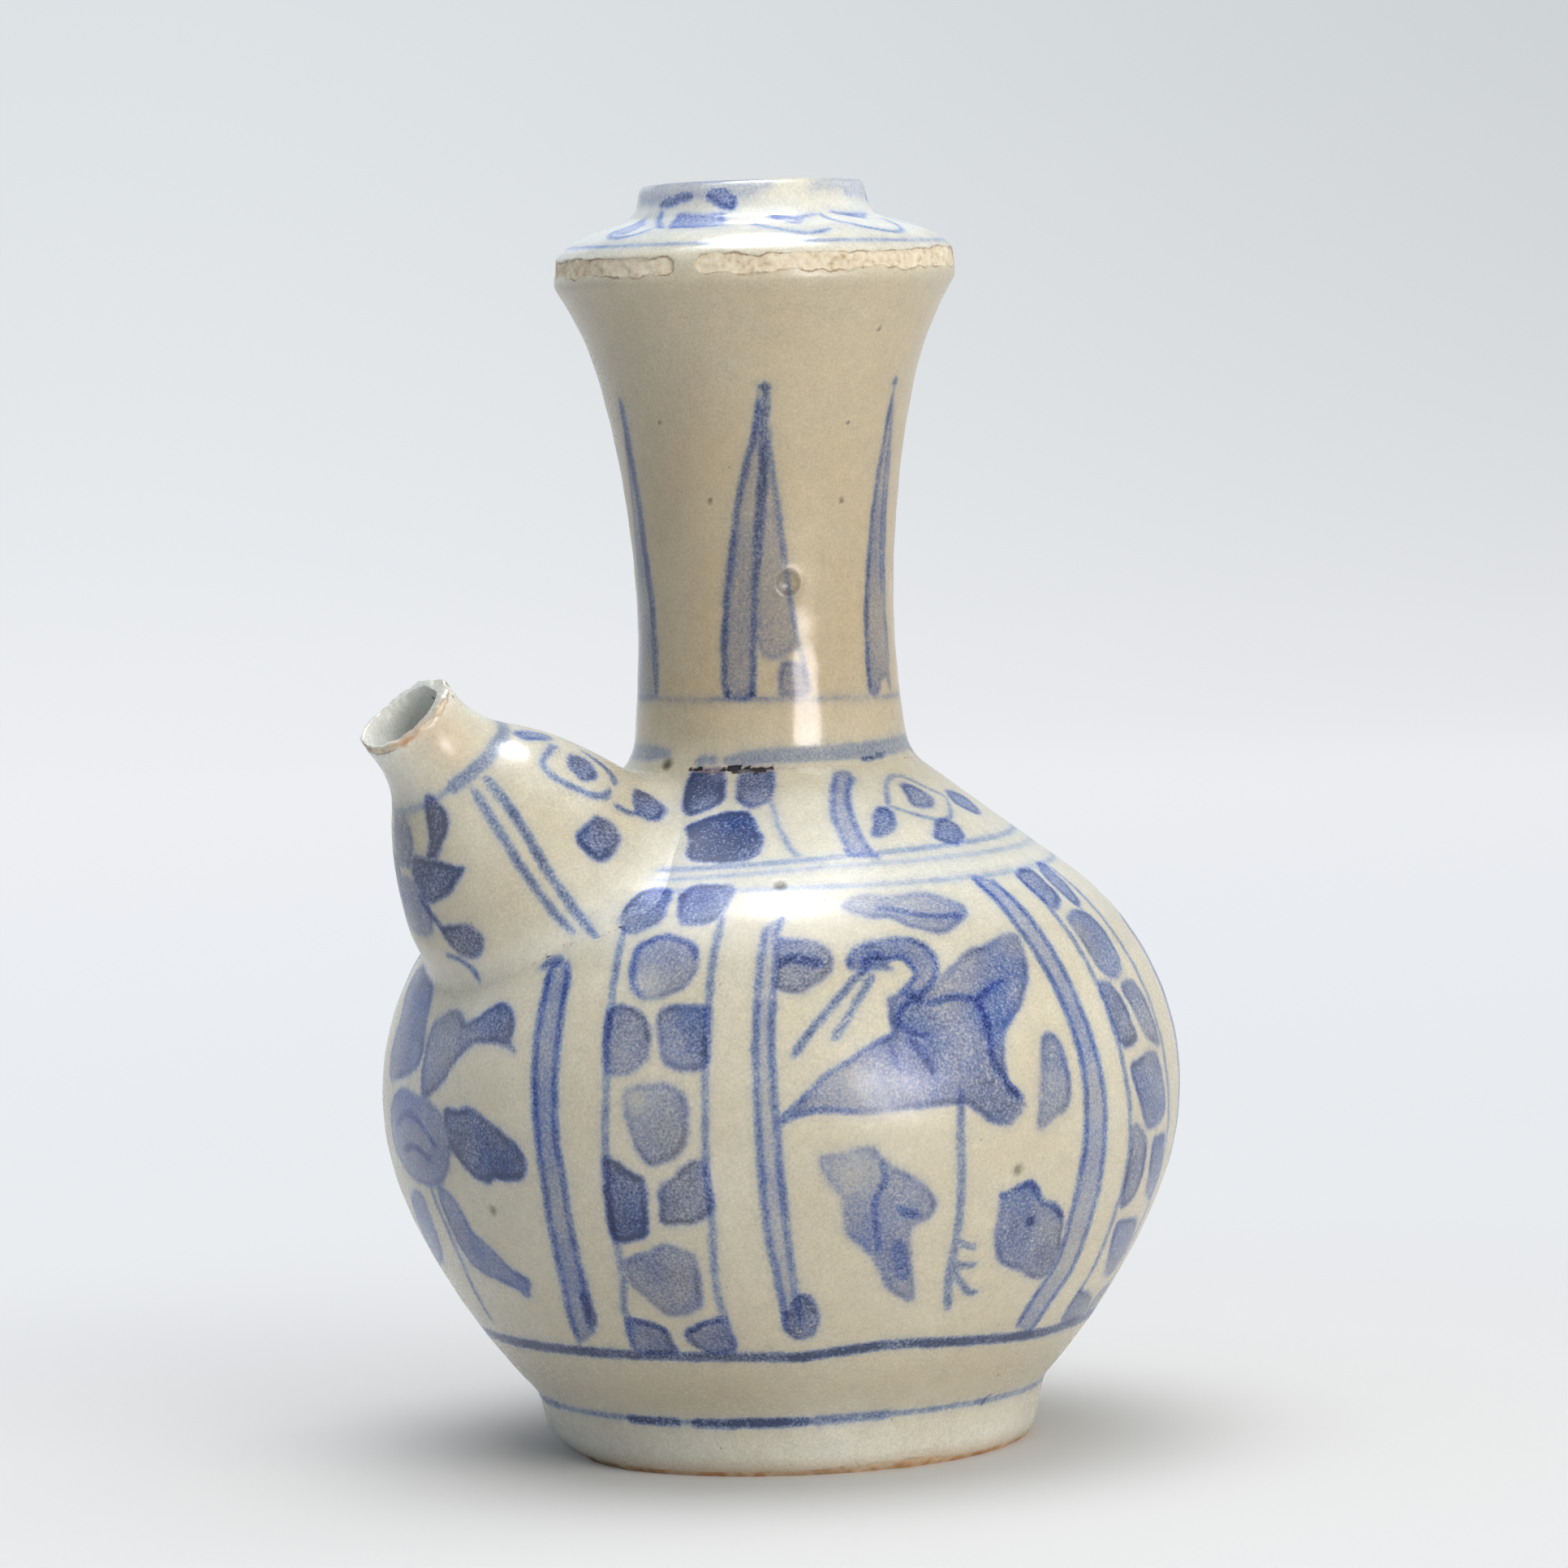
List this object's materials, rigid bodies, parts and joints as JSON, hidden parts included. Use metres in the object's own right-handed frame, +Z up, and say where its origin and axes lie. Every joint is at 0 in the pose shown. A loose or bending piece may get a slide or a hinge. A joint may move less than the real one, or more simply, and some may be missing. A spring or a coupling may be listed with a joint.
{
  "type": "kendi",
  "caption": "Round porcelain pouring vessel with a tall grip neck, flanged filling mouth and breast-shaped spout, painted in underglaze blue.",
  "frame": {"origin": "centre of the foot ring, on the surface that the kendi stands on", "axes": "+Z up along the neck's axis, spout towards -X, Y across the spout"},
  "size_m": [0.1206, 0.1146, 0.1809],
  "materials": {
    "glazed_porcelain": "glossy warm grey glaze over cobalt-blue brushwork",
    "slip": "bare, rough, fired slip"
  },
  "bodies": {
    "root": {"lower_bowl": "glazed_porcelain", "belly_slip": "slip", "upper_bowl": "glazed_porcelain", "neck_slip": "slip", "neck": "glazed_porcelain", "mouth_slip": "slip", "mouth_cap": "glazed_porcelain", "spout_slip": "slip", "spout": "glazed_porcelain"}
  },
  "joints": []
}
